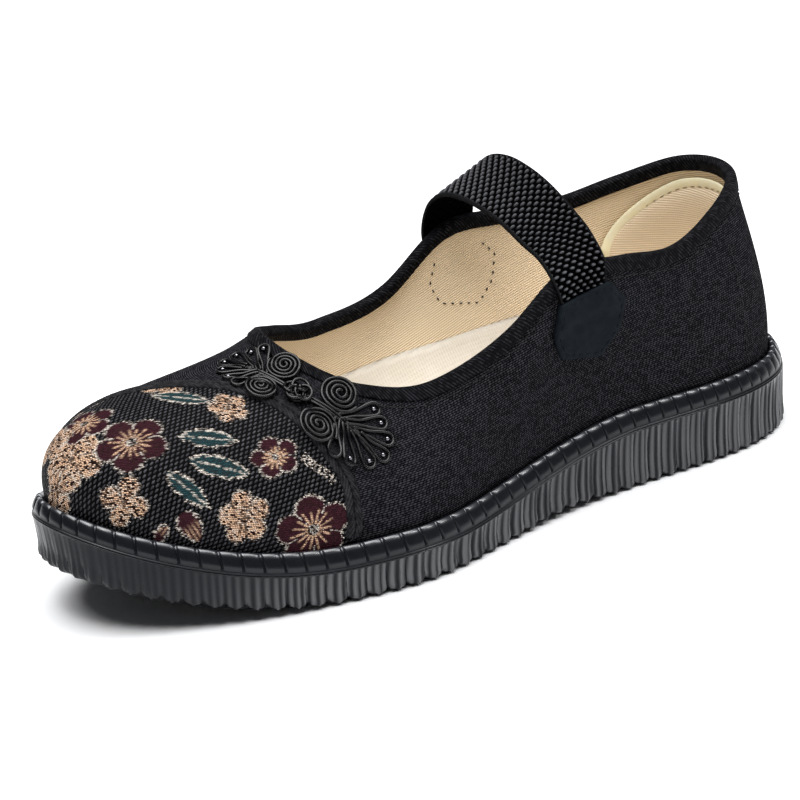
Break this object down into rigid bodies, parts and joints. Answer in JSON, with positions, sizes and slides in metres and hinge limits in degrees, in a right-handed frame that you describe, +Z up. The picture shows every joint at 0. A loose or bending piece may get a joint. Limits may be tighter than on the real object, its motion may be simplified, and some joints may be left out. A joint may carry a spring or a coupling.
{
  "type": "cloth shoe",
  "caption": "Low slip-on cloth shoe for the left foot with an elastic instep strap, a floral brocade toe panel, a corded frog ornament and a ribbed rubber sole.",
  "frame": {"origin": "centre of the footprint's box, on the ground that the sole stands on", "axes": "+Z up, toe towards -Y and heel towards +Y, outer side of the foot towards +X"},
  "size_m": [0.0878, 0.25, 0.0956],
  "materials": {
    "rubber": "moulded black rubber, satin, finely ribbed",
    "footbed": "off-white padded sock cloth",
    "cloth": "black twill cloth, with a woven floral brocade toe in peach, maroon and teal",
    "tape": "black twill tape and braid",
    "elastic": "black basket-woven elastic",
    "leatherette": "charcoal smooth leatherette",
    "cord": "black satin cord with small glossy beads",
    "lining": "tan ribbed lining cloth with pale yellow piping"
  },
  "bodies": {
    "root": {"outsole": "rubber", "insole": "footbed", "upper": "cloth", "collar_binding": "tape", "toe_seam_braid": "tape", "instep_strap": "elastic", "strap_patch_outer": "leatherette", "strap_patch_inner": "leatherette", "frog_outer": "cord", "frog_inner": "cord", "frog_knot": "cord", "heel_pad": "lining"}
  },
  "joints": []
}
